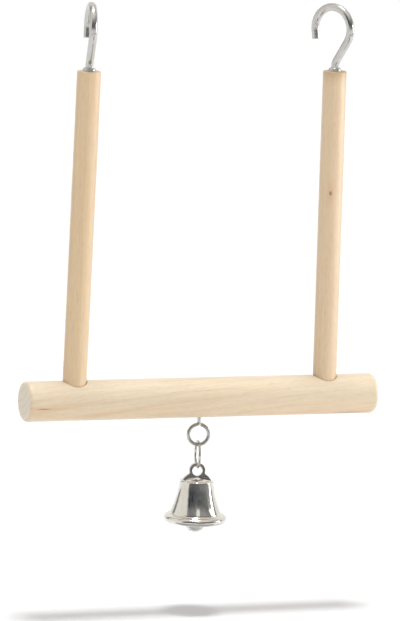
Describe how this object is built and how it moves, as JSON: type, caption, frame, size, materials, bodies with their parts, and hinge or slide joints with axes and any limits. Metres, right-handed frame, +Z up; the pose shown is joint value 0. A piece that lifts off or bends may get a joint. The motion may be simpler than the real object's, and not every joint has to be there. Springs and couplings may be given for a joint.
{
  "type": "bird swing",
  "caption": "Wooden bird swing: slim dowel uprights with open screw hooks carry a thick round perch, and a small bell with a ball clapper hangs on a link below it.",
  "frame": {"origin": "over the middle of the perch, level with the inner tops of the two hook loops", "axes": "+X along the perch to the right, -Y towards the viewer of the picture, +Z up"},
  "size_m": [0.1488, 0.0252, 0.2121],
  "materials": {
    "perch_wood": "bare sanded dowel",
    "upright_wood": "bare sanded dowel",
    "hook_nickel": "nickel-plated steel wire",
    "chain_nickel": "nickel-plated wire",
    "bell_nickel": "nickel-plated casting",
    "clapper_nickel": "nickel-plated steel"
  },
  "bodies": {
    "frame": {"perch": "perch_wood", "left_upright": "upright_wood", "right_upright": "upright_wood", "left_hook": "hook_nickel", "right_hook": "hook_nickel", "left_hook_collar": "hook_nickel", "right_hook_collar": "hook_nickel", "screw_eye": "chain_nickel"},
    "link": {"link_ring": "chain_nickel"},
    "bell": {"bell_shell": "bell_nickel", "clapper_staple": "clapper_nickel"},
    "clapper": {"clapper_wire": "clapper_nickel", "clapper_ball": "clapper_nickel"}
  },
  "joints": [
    {"name": "link_swing", "type": "hinge", "parent": "frame", "child": "link", "pos_m": [0, 0, -0.17338], "axis": [0.9781, -0.2079, 0], "range_deg": [-75, 75]},
    {"name": "bell_swing", "type": "hinge", "parent": "link", "child": "bell", "pos_m": [0, 0, -0.1826], "axis": [0.2079, 0.9781, 0], "range_deg": [-75, 75]},
    {"name": "clapper_swing", "type": "hinge", "parent": "bell", "child": "clapper", "pos_m": [0, 0, -0.19135], "axis": [0.2079, 0.9781, 0], "range_deg": [-21, 21]}
  ]
}
